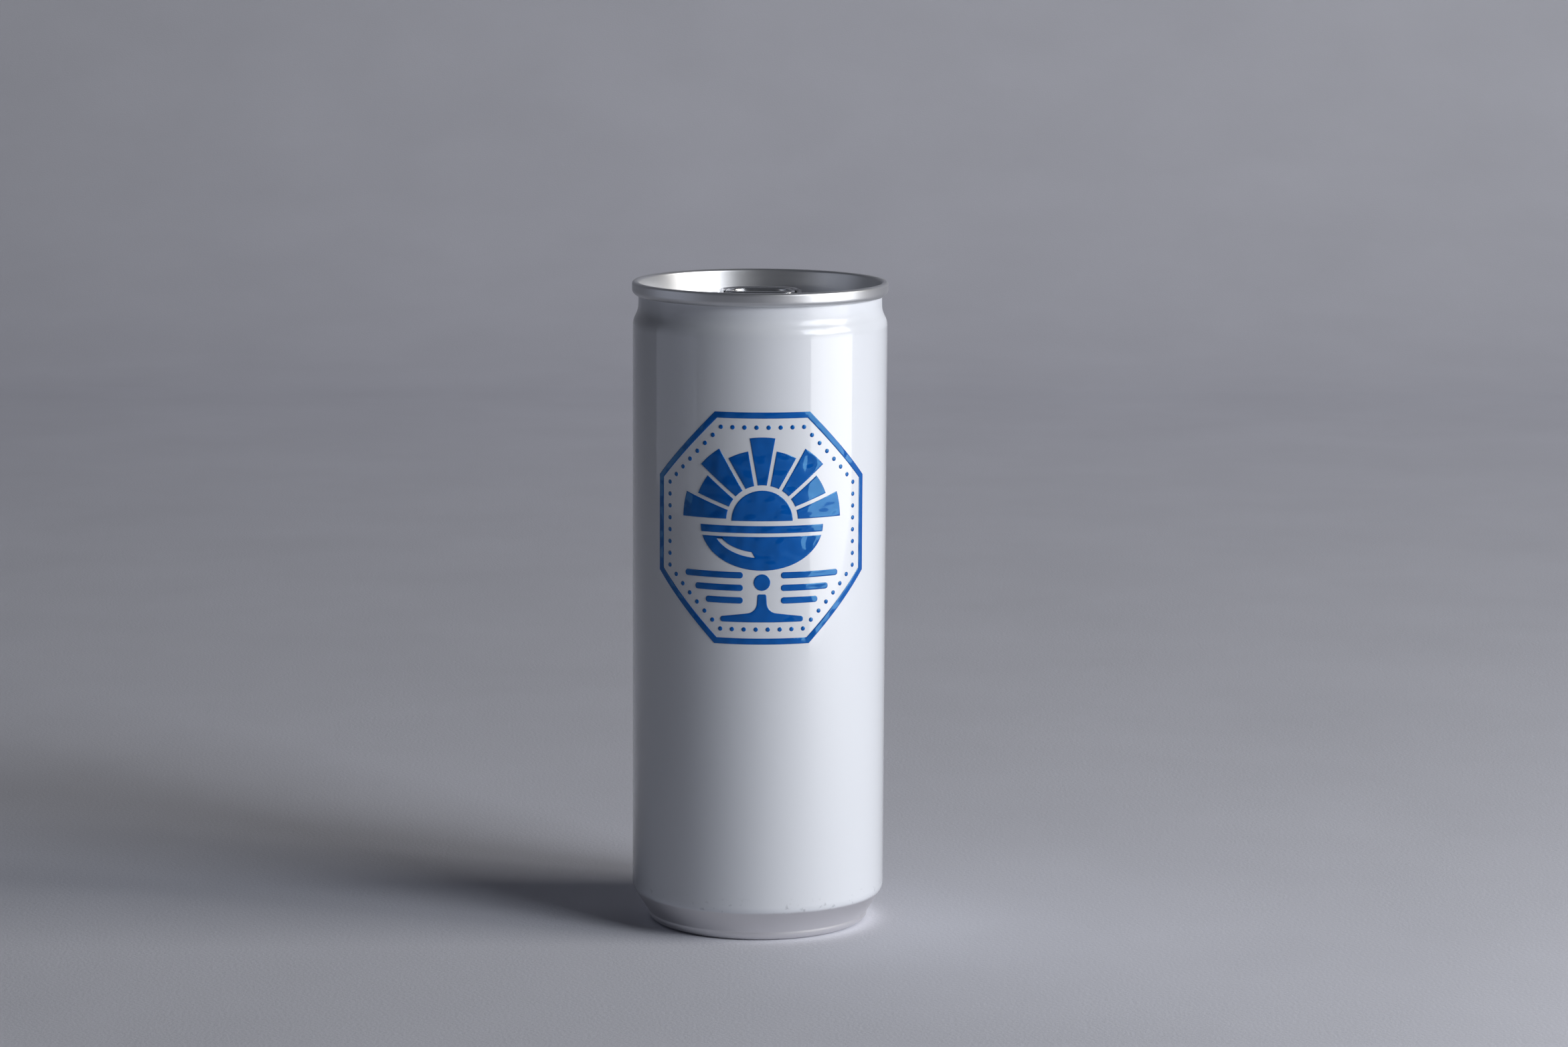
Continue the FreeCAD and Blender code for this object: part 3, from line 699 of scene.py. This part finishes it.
def end_profile(end, body):
    """The rim of the end, from the pressed field up over the seam and back underneath."""
    panel = end.crest - end.panel_depth
    floor = end.crest - end.countersink_depth
    seam_foot = end.crest - end.seam_height
    lean = (end.chuck_top_radius - end.chuck_foot_radius) / end.countersink_depth
    slant = end.sheet * math.hypot(1, lean)

    def chuck_outside(height):
        return end.chuck_foot_radius + (height - floor) * lean + slant

    under_floor = floor - end.sheet
    inner = end.panel_wall_radius - end.sheet
    return rounded_outline([
        (end.panel_radius, panel, 0),
        (end.panel_wall_radius, panel, end.panel_edge_round),
        (end.panel_wall_radius, floor, end.countersink_round),
        (end.chuck_foot_radius, floor, end.countersink_round),
        (end.chuck_top_radius, end.crest, end.seam_inner_round),
        (end.seam_radius, end.crest, end.seam_outer_round),
        (end.seam_radius, seam_foot, end.hook_round),
        (body.neck_radius, seam_foot, 0),
        (chuck_outside(seam_foot), seam_foot, 0),
        (chuck_outside(under_floor), under_floor, end.countersink_round + end.sheet),
        (inner, under_floor, end.countersink_round + end.sheet),
        (inner, panel - end.sheet, end.panel_edge_round - end.sheet),
        (end.panel_radius, panel - end.sheet, 0),
    ], closed=False)


def box_distance(x, y, middle, half_size, rounding):
    """Distance from a rounded oblong's edge: below 0 inside it."""
    across = abs(x - middle[0]) - half_size[0] + rounding
    along = abs(y - middle[1]) - half_size[1] + rounding
    outside = math.hypot(max(across, 0), max(along, 0))
    return outside + min(max(across, along), 0) - rounding


def ridge(distance, half_width, height):
    """A smooth ridge along the line where the distance is 0."""
    if abs(distance) >= half_width:
        return 0.0
    return height * (0.5 + 0.5 * math.cos(math.pi * distance / half_width))


def ease(value, start, stop):
    """A smooth step from 0 at start to 1 at stop."""
    share = min(max((value - start) / (stop - start), 0.0), 1.0)
    return share * share * (3 - 2 * share)


def score_distance(end, x, y):
    """Distance from the opening's score line: below 0 on the tear panel."""
    middle = (0, -(end.score_near + end.score_far) / 2)
    half_size = (end.score_half_width, (end.score_far - end.score_near) / 2)
    return box_distance(x, y, middle, half_size, end.score_round)


def pressed_height(end, x, y):
    """How far the pressing raises or lowers the panel."""
    score = score_distance(end, x, y)
    groove = -end.score_depth * max(0.0, 1 - abs(score) / (end.score_width / 2))
    clear_of_tab = 1 - ease(y, start=-9.0 * MM, stop=-7.2 * MM)
    tear_rib_inset = 2.4 * MM
    tear_rib = ridge(score + tear_rib_inset, half_width=1.0 * MM, height=0.28 * MM) * clear_of_tab
    field = box_distance(x, y, middle=(0, -1.0 * MM), half_size=(15.6 * MM, 19.9 * MM),
                         rounding=15.0 * MM)
    off_score = ease(score, start=0.5 * MM, stop=1.4 * MM)
    field_rib = ridge(field, half_width=0.9 * MM, height=0.26 * MM) * off_score
    bead_middle = (end.bead_start + end.bead_stop) / 2
    bead_half = (end.bead_stop - end.bead_start) / 2
    off_end = max(abs(y - bead_middle) - bead_half, 0)
    bead = ridge(math.hypot(abs(x) - end.bead_across, off_end), end.bead_half_width, end.bead_height)
    well_stretch = 1.5
    from_well = math.hypot(x / well_stretch, y - end.well_middle)
    well = -end.well_depth * (1 - ease(from_well, start=1.6 * MM, stop=4.6 * MM))
    return groove + tear_rib + field_rib + bead + well


def score_reach(end, middle, direction):
    """How far the score line lies from the opening's middle, in a direction."""
    near, far = 0.0, 2 * end.score_far
    halvings = 40
    for _ in range(halvings):
        half_way = (near + far) / 2
        at = middle + direction * half_way
        if score_distance(end, at.x, at.y) < 0:
            near = half_way
        else:
            far = half_way
    return near


def panel_rings(end, segments):
    """The panel's points, ring by ring from the opening's middle to the edge of the field.

    Three rings lie close together on the score line, so that its groove is real.
    """
    middle = Vector((0, -(end.score_near + end.score_far) / 2))
    half_groove = end.score_width / 2
    inside_rings = 26
    outside_rings = 64
    spokes = []
    for i in range(segments):
        turn = math.tau * i / segments
        edge = Vector((end.panel_radius * math.cos(turn), end.panel_radius * math.sin(turn)))
        direction = (edge - middle).normalized()
        score = score_reach(end, middle, direction)
        full = (edge - middle).length
        inside = even_steps(0.0, score - half_groove, inside_rings)[1:]
        outside = even_steps(score + half_groove, full, outside_rings)
        spokes.append([middle + direction * reach for reach in (*inside, score, *outside)])
    return middle, list(zip(*spokes))


def add_panel_side(shape, end, segments, level, flip):
    """Add one side of the pressed panel to a mesh."""
    middle, rings = panel_rings(end, segments)
    centre = shape.verts.new((middle.x, middle.y, level + pressed_height(end, middle.x, middle.y)))
    rows = [[shape.verts.new((p.x, p.y, level + pressed_height(end, p.x, p.y))) for p in ring]
            for ring in rings]
    for vertex in rows[-1]:
        vertex.co.z = level
    faces = []
    for i in range(segments):
        following = (i + 1) % segments
        faces.append((centre, rows[0][i], rows[0][following]))
        for inner, outer in zip(rows, rows[1:]):
            faces.append((inner[i], outer[i], outer[following], inner[following]))
    for corners in faces:
        shape.faces.new(tuple(reversed(corners)) if flip else corners)


def rivet_profile(end, tab):
    """The rivet from under the panel, over its seat, shank and head, to the hollow's middle."""
    panel = end.crest - end.panel_depth
    seat = panel + end.boss_height
    web_top = seat + tab.web_thickness
    head_top = web_top + end.head_thickness
    dimple = head_top - end.dimple_depth
    foot = panel - 0.2 * MM
    foot_radius = end.boss_radius + 0.35 * MM
    rise_radius = end.boss_radius + 0.1 * MM
    seat_radius = end.boss_radius - 0.3 * MM
    dimple_foot_radius = end.dimple_radius - 0.3 * MM
    return rounded_outline([
        (0, foot, 0),
        (foot_radius, foot, 0),
        (rise_radius, panel, 0.1 * MM),
        (seat_radius, seat, 0.15 * MM),
        (end.shank_radius, seat, 0),
        (end.shank_radius, web_top, 0),
        (end.head_radius, web_top, 0.12 * MM),
        (end.head_radius, head_top, 0.28 * MM),
        (end.dimple_radius, head_top, 0.15 * MM),
        (dimple_foot_radius, dimple, 0.2 * MM),
        (0, dimple, 0),
    ], closed=False)


class SLIMCAN_OT_end(Operator):
    """Make the seamed end with its pressed panel, and the rivet"""
    bl_idname = "slim_can.end"
    bl_label = "End and rivet"

    def execute(self, context):
        settings = context.scene.slim_can
        end = settings.end
        segments = settings.body.segments
        material = seamed_end_aluminium(settings.colours)
        mesh = turned_mesh("seamed_end", end_profile(end, settings.body), segments, material)
        panel = end.crest - end.panel_depth
        with editing(mesh) as shape:
            add_panel_side(shape, end, segments, panel, flip=False)
            add_panel_side(shape, end, segments, panel - end.sheet, flip=True)
        tidy_mesh(mesh)
        hand_over(link("seamed_end", mesh), "can_end")

        rivet_segments = 64
        rivet = turned_mesh("rivet", rivet_profile(end, settings.tab), rivet_segments, material)
        hand_over(link("rivet", rivet))
        return {"FINISHED"}


# ---------------------------------------------------------------- flat plates with rounded edges

def plate_mesh(name, outlines, thickness, edge_round, steps=4):
    """A flat plate between closed outlines, its middle at height 0 and its edges rounded.

    An edge wider than half the thickness is pressed flat, like the rim of a drop.
    """
    full = max(thickness, 2.2 * edge_round)
    curve = bpy.data.curves.new(name, "CURVE")
    curve.dimensions = "2D"
    curve.fill_mode = "BOTH"
    curve.extrude = full / 2 - edge_round
    curve.bevel_depth = edge_round
    curve.bevel_resolution = steps
    curve.offset = -edge_round
    for outline in outlines:
        spline = curve.splines.new("POLY")
        spline.points.add(len(outline) - 1)
        for point, place in zip(spline.points, outline):
            point.co = (place.x, place.y, 0, 1)
        spline.use_cyclic_u = True
    helper = link(f"{name}_helper", curve)
    mesh = evaluated_mesh(helper, name)
    drop(helper)
    mesh.transform(Matrix.Diagonal((1, 1, thickness / full, 1)))
    tidy_mesh(mesh)
    return mesh


def joined_mesh(name, parts):
    """One mesh from several, each given with how far it is moved."""
    mesh = bpy.data.meshes.new(name)
    with editing(mesh) as shape:
        for part, shift in parts:
            part.transform(Matrix.Translation(shift))
            shape.from_mesh(part)
    return mesh


def with_flat_faces(name, mesh, material):
    """A piece whose large faces stay flat in shading and whose rounds stay smooth."""
    mesh.materials.append(material)
    for face in mesh.polygons:
        face.use_smooth = True
    helper = link(f"{name}_helper", mesh)
    weighted = helper.modifiers.new("Weighted normals", "WEIGHTED_NORMAL")
    weighted.mode = "FACE_AREA"
    weighted.weight = 60
    result = evaluated_mesh(helper, name)
    drop(helper)
    return link(name, result)


# ---------------------------------------------------------------- the tab

def oblong(half_width, front, back, front_round, back_round):
    """A rounded oblong across the can, from front to back."""
    return rounded_outline([
        (-half_width, front, front_round),
        (half_width, front, front_round),
        (half_width, back, back_round),
        (-half_width, back, back_round),
    ])


def tab_outline(tab, inset):
    """The tab's outline, drawn in by an inset."""
    return oblong(tab.half_width - inset, inset - tab.nose, tab.heel - inset,
                  tab.nose_round - inset, tab.heel_round - inset)


def finger_outline(tab, margin):
    """The finger hole's outline, widened by a margin."""
    return oblong(tab.finger_half_width + margin, tab.finger_front - margin,
                  tab.finger_back + margin, tab.finger_front_round + margin,
                  tab.finger_back_round + margin)


def slot_outline(tab):
    """The slot that runs round the back of the rivet."""
    slack = 0.05 * MM
    return rounded_outline([
        (-tab.slot_outer, -tab.slot_front, 0),
        (-tab.slot_inner, -tab.slot_front, 0),
        (-tab.slot_inner, tab.slot_inner, tab.slot_inner - slack),
        (tab.slot_inner, tab.slot_inner, tab.slot_inner - slack),
        (tab.slot_inner, -tab.slot_front, 0),
        (tab.slot_outer, -tab.slot_front, 0),
        (tab.slot_outer, tab.slot_outer, tab.slot_outer - slack),
        (-tab.slot_outer, tab.slot_outer, tab.slot_outer - slack),
    ])


def tab_parts(tab, end):
    """The curled rim, the finger hole's curled edge and the web, each with its shift."""
    thickness = tab.top - tab.underside
    middle = Vector((0, 0, (tab.top + tab.underside) / 2))
    curl = tab.curl_width
    rim = plate_mesh("rim", [tab_outline(tab, 0.0), tab_outline(tab, curl)],
                     thickness, edge_round=thickness * 0.48, steps=6)

    finger = tab.finger_curl_width
    finger_curl = plate_mesh("finger_curl", [finger_outline(tab, finger), finger_outline(tab, 0.0)],
                             thickness * 0.86, edge_round=thickness * 0.40, steps=6)

    panel = end.crest - end.panel_depth
    web_middle = Vector((0, 0, panel + end.boss_height + tab.web_thickness / 2))
    shank = arc_points((0, 0), end.shank_radius, 0, math.tau, steps=48)[:-1]
    web_outlines = [tab_outline(tab, curl / 2), finger_outline(tab, finger / 2), slot_outline(tab), shank]
    web = plate_mesh("web", web_outlines, tab.web_thickness, edge_round=0.05 * MM, steps=2)
    return [(rim, middle), (finger_curl, middle), (web, web_middle)]


class SLIMCAN_OT_tab(Operator):
    """Make the tab: curled rim, finger hole and web"""
    bl_idname = "slim_can.tab"
    bl_label = "Tab"

    def execute(self, context):
        settings = context.scene.slim_can
        mesh = joined_mesh("tab_plate", tab_parts(settings.tab, settings.end))
        piece = with_flat_faces("tab_plate", mesh, tab_aluminium(settings.colours))
        hand_over(piece, "pull_tab")
        return {"FINISHED"}


# ---------------------------------------------------------------- the print

def corner_reach(flat_reach):
    """Middle to a corner of an eight-sided shape, from its middle to a flat."""
    return flat_reach / math.cos(math.pi / 8)


def eight_sided(flat_reach):
    """An eight-sided outline that is flat at the top."""
    first = math.pi / 8
    return arc_points((0, 0), corner_reach(flat_reach), first, first + math.tau, steps=8)[:-1]


def ray(centre, bearing, near, far, half_spread, gap):
    """A ray between two circles, with sides parallel to the white lines beside it."""
    def side_point(radius, side):
        offset = math.asin(gap / 2 / radius)
        return bearing + side * (half_spread - offset)

    inner = arc_points(centre, near, side_point(near, -1), side_point(near, 1), steps=4)
    outer = arc_points(centre, far, side_point(far, 1), side_point(far, -1), steps=8)
    return inner + outer


def sunburst(artwork):
    """Nine rays over the rim of the glass, long and short by turns, and the half disc inside."""
    centre = (0, 1.6 * MM)
    disc_radius = 6.3 * MM
    near = 7.4 * MM
    long_reach = 17.2 * MM
    short_reach = 14.6 * MM
    rays = 9
    half_spread = math.pi / rays / 2
    outlines = []
    for i in range(rays):
        far = long_reach if i % 2 == 0 else short_reach
        bearing = math.pi * (i + 0.5) / rays
        outlines.append([ray(centre, bearing, near, far, half_spread, artwork.gap)])
    outlines.append([arc_points(centre, disc_radius, 0, math.pi, steps=28)])
    return outlines


def mirrored(points):
    """Points on the right, mirrored to the left and in the opposite order."""
    return [Vector((-p.x, p.y)) for p in reversed(points)]


def crescent(centre, outer, inner):
    """A thin curved gleam between two ovals, on the lower left of the bowl."""
    def side(oval, angles):
        return [Vector((centre[0] + oval[0] * math.cos(a), centre[1] + oval[1] * math.sin(a)))
                for a in angles]

    angles = even_steps(math.radians(205), math.radians(262), steps=12)
    return side(outer, angles) + side(inner, reversed(angles[1:-1]))


def glass_bowl(artwork):
    """The bowl of a wide glass: a band at the rim and the drink below it, with its gleam."""
    half_width = 13.0 * MM
    depth = 9.2 * MM
    rim = 0.6 * MM
    band_width = 1.5 * MM

    def right_side(depths):
        return [Vector((half_width * math.sqrt(max(0.0, 1 - (d / depth) ** 2)), rim - d))
                for d in depths]

    rim_side = right_side(even_steps(0.0, band_width, steps=3))
    drink_start = band_width + artwork.gap
    steps = 16
    drink_side = right_side([drink_start + (depth - drink_start) * math.sin(math.pi / 2 * k / steps)
                             for k in range(steps)])
    drink = drink_side + [Vector((0, rim - depth))] + mirrored(drink_side)
    gleam = crescent((0, rim), outer=(half_width * 0.80, depth * 0.72),
                     inner=(half_width * 0.74, depth * 0.60))
    return [[rim_side + mirrored(rim_side)], [drink, gleam]]


def stem_and_foot(artwork):
    """The stem with its knop, and the foot of the glass."""
    knop_radius = 1.7 * MM
    knop_top = -8.6 * MM - artwork.gap
    knop = arc_points((0, knop_top - knop_radius), knop_radius, 0, math.tau, steps=32)[:-1]
    stem_top = knop_top - 3.4 * MM - artwork.gap
    foot_top = -17.2 * MM
    foot_bottom = -19.3 * MM
    foot_reach = 8.6 * MM
    foot_thickness = 1.1 * MM
    foot_round = 0.5 * MM
    stem_half_width = 0.9 * MM
    stem_foot_half_width = 1.1 * MM
    right = [
        (foot_reach, foot_bottom, foot_round),
        (foot_reach, foot_bottom + foot_thickness, foot_round),
        (stem_foot_half_width, foot_top, 2.2 * MM),
        (stem_half_width, stem_top, 0.4 * MM),
    ]
    left = [(-across, up, rounding) for across, up, rounding in reversed(right)]
    return [[knop], [rounded_outline(left + right)]]


def side_bars():
    """Three rounded bars on each side of the stem, shorter towards the foot."""
    inner = 3.9 * MM
    half_height = 0.65 * MM
    rounding = 0.6 * MM
    first_row = -9.6
    row_pitch = 2.6
    outlines = []
    for row, outer in enumerate((16.6 * MM, 14.2 * MM, 11.8 * MM)):
        up = (first_row - row_pitch * row) * MM
        for side in (-1, 1):
            near, far = sorted((side * inner, side * outer))
            outlines.append([rounded_outline([
                (near, up - half_height, rounding),
                (far, up - half_height, rounding),
                (far, up + half_height, rounding),
                (near, up + half_height, rounding),
            ])])
    return outlines


def bend_onto_wall(mesh, wall_radius, turn, middle_height):
    """Cut a flat mesh into narrow upright strips and bend it round the can's wall."""
    strip = 0.8 * MM
    with editing(mesh) as shape:
        strips = int(max(abs(v.co.x) for v in shape.verts) / strip)
        for k in range(-strips, strips + 1):
            everything = shape.verts[:] + shape.edges[:] + shape.faces[:]
            bmesh.ops.bisect_plane(shape, geom=everything, plane_co=(k * strip, 0, 0),
                                   plane_no=(1, 0, 0), dist=0.002 * MM)
        for vertex in shape.verts:
            across, up, proud = vertex.co
            bearing = across / wall_radius + turn
            radius = wall_radius + proud
            vertex.co = (radius * math.sin(bearing), -radius * math.cos(bearing), up + middle_height)
    tidy_mesh(mesh)


class SLIMCAN_OT_print(Operator):
    """Make the raised print: an eight-sided frame, a wide glass, a sunburst and bars"""
    bl_idname = "slim_can.artwork"
    bl_label = "Raised print"

    def execute(self, context):
        settings = context.scene.slim_can
        artwork = settings.artwork
        frame_line = [[eight_sided(artwork.frame_reach), eight_sided(artwork.frame_reach - artwork.line)]]
        shapes = (frame_line + sunburst(artwork) + glass_bowl(artwork) + stem_and_foot(artwork)
                  + side_bars())
        buried = 0.06 * MM
        thickness = artwork.ink + buried
        shift = Vector((0, 0, (artwork.ink - buried) / 2))
        plates = [(plate_mesh("ink", outlines, thickness, artwork.edge, 5), shift) for outlines in shapes]
        mesh = joined_mesh("raised_print", plates)
        bend_onto_wall(mesh, settings.body.wall_radius, artwork.turn, artwork.middle_height)
        material = raised_blue_ink(settings.colours)
        hand_over(with_flat_faces("raised_print", mesh, material))

        values = {
            "Dots": artwork.dots,
            "Path Radius": corner_reach(artwork.frame_reach - artwork.dot_inset),
            "Dot Diameter": artwork.dot_diameter,
            "Ink Height": artwork.ink,
            "Wall Radius": settings.body.wall_radius,
            "Middle Height": artwork.middle_height,
            "Turn": artwork.turn,
            "Material": material,
        }
        dots = run_tree("print_dots", bpy.data.meshes.new("dot_row"), dot_row_tree(), values)
        tidy_mesh(dots)
        hand_over(link("print_dots", dots))
        return {"FINISHED"}


# ---------------------------------------------------------------- the stage

def paper_sweep(material):
    """One sheet of paper: a level floor that curves up into the backdrop."""
    back = 1.5
    rise = 2.2
    near = -1.6
    half_width = 2.6
    bend = 0.6
    profile = rounded_outline([(near, 0, 0), (back, 0, bend), (back, rise, 0)], closed=False)
    mesh = bpy.data.meshes.new("paper_sweep")
    with editing(mesh) as shape:
        rows = [[shape.verts.new((side * half_width, p.x, p.y)) for side in (-1, 1)] for p in profile]
        for lower, upper in zip(rows, rows[1:]):
            face = shape.faces.new((lower[0], lower[1], upper[1], upper[0]))
            face.smooth = True
    mesh.materials.append(material)
    return link("paper_sweep", mesh)


def soft_lamp(name, place, target, size, watts, tint):
    """A rectangular soft box, (width, height) large, that faces a target."""
    data = bpy.data.lights.new(name, "AREA")
    data.shape = "RECTANGLE"
    data.size, data.size_y = size
    data.energy = watts
    data.color = linear(tint)
    lamp = link(name, data)
    lamp.location = place
    lamp.rotation_euler = (Vector(target) - Vector(place)).to_track_quat("-Z", "Y").to_euler()
    return lamp


def upright_lamp(name, start, stop, height, watts, tint):
    """A soft panel that stands on the floor from start to stop and faces the can's side."""
    along = Vector((*stop, 0)) - Vector((*start, 0))
    middle = Vector((*start, height / 2)) + along / 2
    facing = Vector((-along.y, along.x, 0)).normalized()
    if facing.dot(middle) > 0:
        facing.negate()
    return soft_lamp(name, middle, middle + facing, (along.length, height), watts, tint)


def dark_room(stage):
    """A dark room that only bright metal mirrors a little."""
    world = bpy.data.worlds.new("dark_room")
    world.use_nodes = True
    tree = world.node_tree
    tree.nodes.clear()
    mirrored = add(tree, "ShaderNodeLightPath")["Is Glossy Ray"]
    strength = add(tree, RANGE, {"Value": mirrored, "To Min": stage.room_light,
                                 "To Max": stage.mirrored_light})
    background = add(tree, "ShaderNodeBackground",
                     {"Color": shade(linear("#D3D8E6")), "Strength": strength["Result"]})
    add(tree, "ShaderNodeOutputWorld", {"Surface": background["Background"]})
    return world


class SLIMCAN_OT_stage(Operator):
    """Make the floor, the backdrop, the lamps and the camera"""
    bl_idname = "slim_can.stage"
    bl_label = "Stage"

    def execute(self, context):
        scene = context.scene
        settings = scene.slim_can
        stage = settings.stage
        paper_sweep(studio_paper(settings.colours))

        can = (0, 0, 0.06)
        key_size = (0.8, 0.8)
        soft_lamp("front_key", (1.60, -1.25, 1.08), can, key_size, stage.front_key, "#F4F8FF")
        soft_lamp("middle_key", (1.88, -1.00, 0.86), can, key_size, stage.middle_key, "#FFFDFA")
        soft_lamp("side_key", (2.05, -0.36, 0.97), can, key_size, stage.side_key, "#FFFBF5")
        upright_lamp("window", start=(0.256, -0.255), stop=(0.613, 0.0), height=0.16,
                     watts=stage.window, tint="#FFFFFF")
        card = upright_lamp("left_card", start=(-0.65, 0.18), stop=(-0.55, -0.35), height=0.5,
                            watts=stage.left_card, tint="#E6ECFF")
        card.visible_diffuse = False
        top_lamp = soft_lamp("top_lamp", place=(0, 0.9, 1.6), target=(0, 0.95, 0), size=(0.6, 0.4),
                             watts=stage.top_lamp, tint="#F4F2FF")
        top_lamp.data.spread = math.radians(50)

        scene.world = dark_room(stage)
        scene.view_settings.view_transform = "Standard"

        data = bpy.data.cameras.new("camera")
        data.lens = stage.camera_lens
        data.sensor_width = 36.0
        data.clip_start = 0.01
        camera = link("camera", data)
        turned = (Matrix.Rotation(-stage.camera_pan, 4, "Z")
                  @ Matrix.Rotation(math.pi / 2 - stage.camera_tilt, 4, "X")
                  @ Matrix.Rotation(stage.camera_roll, 4, "Z"))
        camera.matrix_world = Matrix.Translation((0, -stage.camera_distance, stage.camera_height)) @ turned
        scene.camera = camera
        return {"FINISHED"}


# ---------------------------------------------------------------- the add-on

class SLIMCAN_PT_panel(Panel):
    """Lists the steps that build the can"""
    bl_idname = "SLIMCAN_PT_panel"
    bl_label = "Slim Cocktail Can"
    bl_space_type = "VIEW_3D"
    bl_region_type = "UI"
    bl_category = "Can"

    def draw(self, context):
        for step in STEPS:
            self.layout.operator(step.bl_idname)


STEPS = (SLIMCAN_OT_stage, SLIMCAN_OT_body, SLIMCAN_OT_end, SLIMCAN_OT_tab, SLIMCAN_OT_print)
CLASSES = (CanBodySizes, CanEndSizes, CanTabSizes, CanPrintSizes, CanColours, CanStageSettings,
           CanSettings, *STEPS, SLIMCAN_PT_panel)


def register():
    for item in CLASSES:
        bpy.utils.register_class(item)
    bpy.types.Scene.slim_can = PointerProperty(type=CanSettings)


def unregister():
    del bpy.types.Scene.slim_can
    for item in reversed(CLASSES):
        bpy.utils.unregister_class(item)


def main():
    """Build everything in order."""
    register()
    bpy.ops.slim_can.stage()
    bpy.ops.slim_can.body()
    bpy.ops.slim_can.end()
    bpy.ops.slim_can.tab()
    bpy.ops.slim_can.artwork()


if __name__ == "__main__":
    main()
